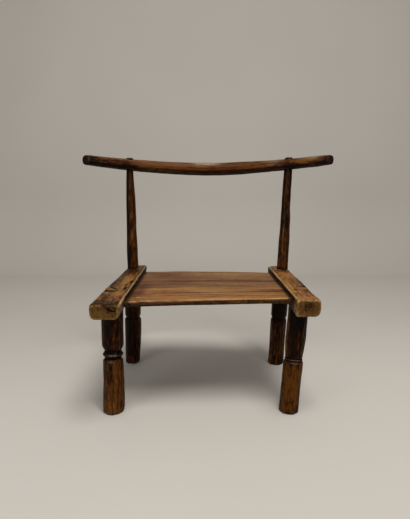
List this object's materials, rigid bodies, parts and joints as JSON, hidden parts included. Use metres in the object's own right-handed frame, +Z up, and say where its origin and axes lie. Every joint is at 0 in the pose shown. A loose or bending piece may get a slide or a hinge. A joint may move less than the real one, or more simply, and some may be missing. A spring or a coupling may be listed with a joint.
{
  "type": "low carved wooden chair",
  "caption": "Low carved hardwood chair with a plank seat housed between heavy side rails, ringed round legs and a bowed crest rail on two tapering back posts.",
  "frame": {"origin": "on the floor, under the middle of the chair's outline", "axes": "+X to the viewer's right when facing the chair, +Y to the back, +Z up"},
  "size_m": [0.6044, 0.469, 0.5567],
  "materials": {
    "rail_wood": "golden brown worn hardwood, satin from handling, dark in the hollows",
    "seat_wood": "reddish brown plank, dry and worn smooth by sitters",
    "leg_wood": "dark brown carved hardwood with a dull old polish",
    "crest_wood": "dark reddish brown bent limb, polished by hands at the middle"
  },
  "bodies": {
    "root": {"left_side_rail": "rail_wood", "right_side_rail": "rail_wood", "seat_plank": "seat_wood", "front_left_leg": "leg_wood", "front_right_leg": "leg_wood", "rear_left_stile": "leg_wood", "rear_right_stile": "leg_wood", "crest_rail": "crest_wood"}
  },
  "joints": []
}
